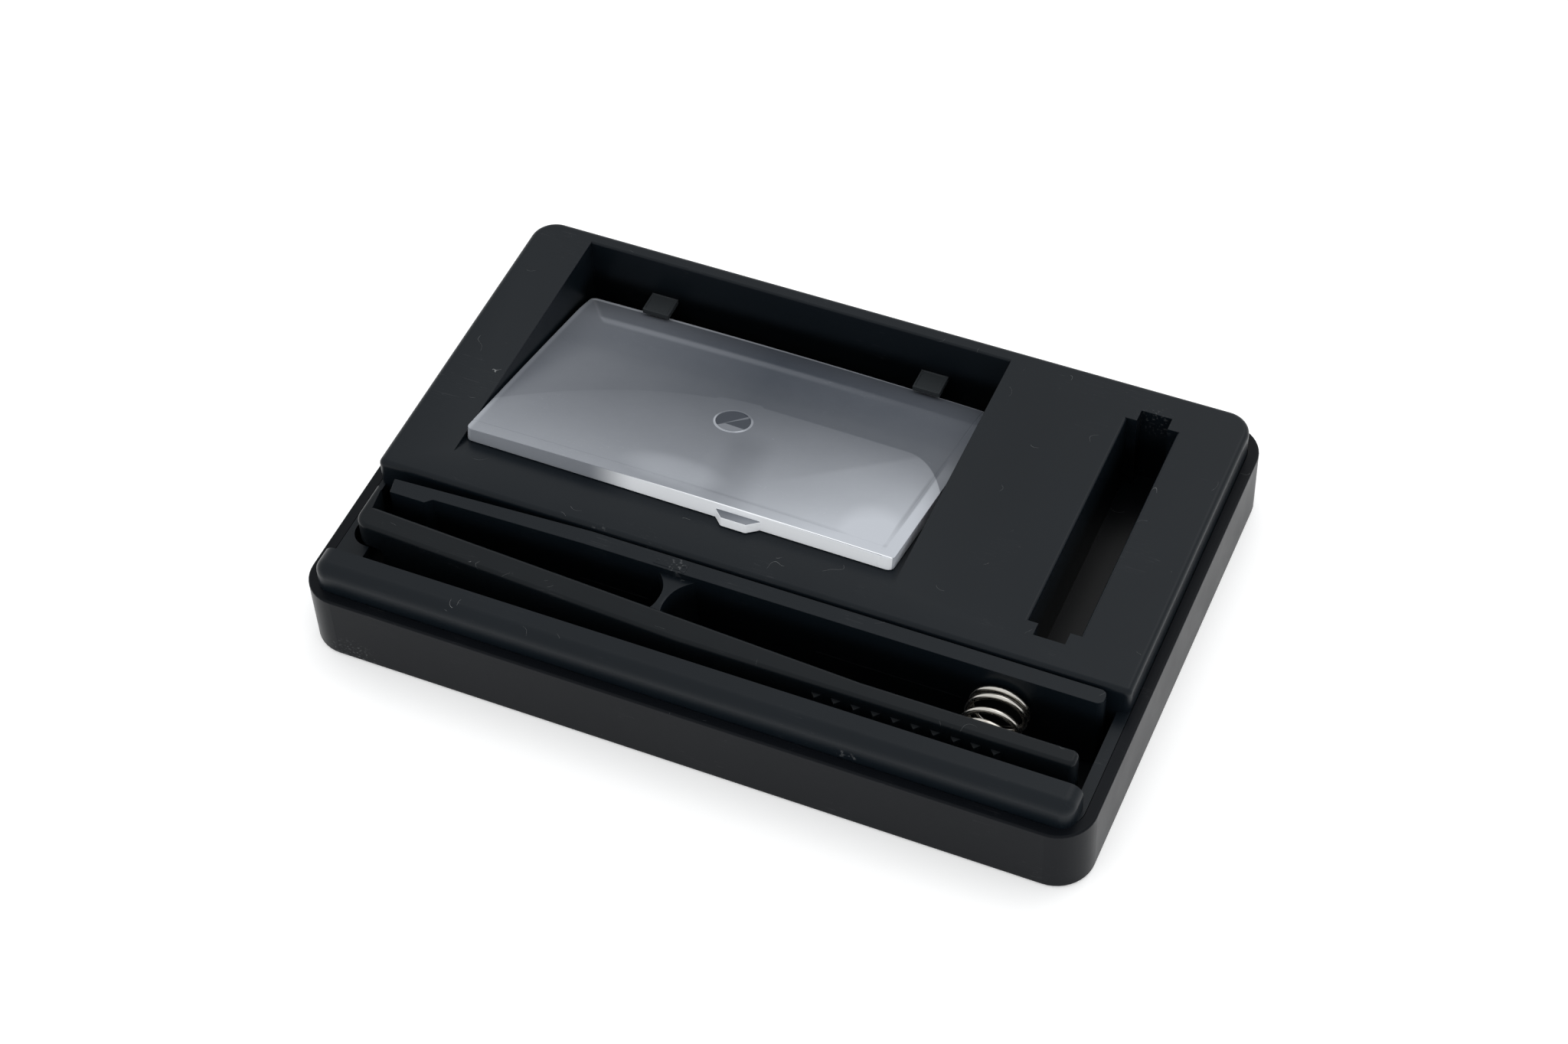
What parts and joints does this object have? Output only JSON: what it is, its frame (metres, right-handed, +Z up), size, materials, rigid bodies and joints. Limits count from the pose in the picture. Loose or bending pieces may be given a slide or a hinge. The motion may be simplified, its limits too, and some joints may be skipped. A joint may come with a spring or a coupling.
{
  "type": "darkroom film carrier tray",
  "caption": "Black desk tray holding a moulded deck with a sloping opal window panel, an upright mount slot and lift-out spring tongs in a front trough.",
  "frame": {"origin": "centre of the tray's underside, on the surface that it stands on", "axes": "+X along the long side, +Y from the tongs trough to the window, +Z up"},
  "size_m": [0.134, 0.0896, 0.0205],
  "materials": {
    "tray_plastic": "fine satin moulding, black",
    "deck_plastic": "fine satin moulding, black",
    "clip_plastic": "ribbed satin, dark grey",
    "tongs_plastic": "satin moulding, black",
    "opal_panel": "polished opal acrylic",
    "spring_wire": "drawn steel wire"
  },
  "bodies": {
    "base": {"base_tray": "tray_plastic", "deck_housing": "deck_plastic", "panel_clip_left": "clip_plastic", "panel_clip_right": "clip_plastic"},
    "window": {"window_panel": "opal_panel"},
    "tongs": {"tongs_rear_arm": "tongs_plastic", "tongs_flexure_web": "tongs_plastic", "tongs_spring": "spring_wire"},
    "lever": {"tongs_lever": "tongs_plastic"}
  },
  "joints": [
    {"name": "panel_slide", "type": "slide", "parent": "base", "child": "window", "axis": [0, -0.969, 0.247], "range_m": [0, 0.05]},
    {"name": "tongs_lift", "type": "slide", "parent": "base", "child": "tongs", "axis": [0, 0, 1], "range_m": [0, 0.03]},
    {"name": "tongs_squeeze", "type": "hinge", "parent": "tongs", "child": "lever", "pos_m": [-0.0098, -0.02775, 0.0108], "axis": [0, 0, 1], "range_deg": [0, 4], "stiffness_Nm_per_rad": 0.84, "springref_deg": -2.01, "deforming": ["tongs_spring", "tongs_flexure_web"]}
  ]
}
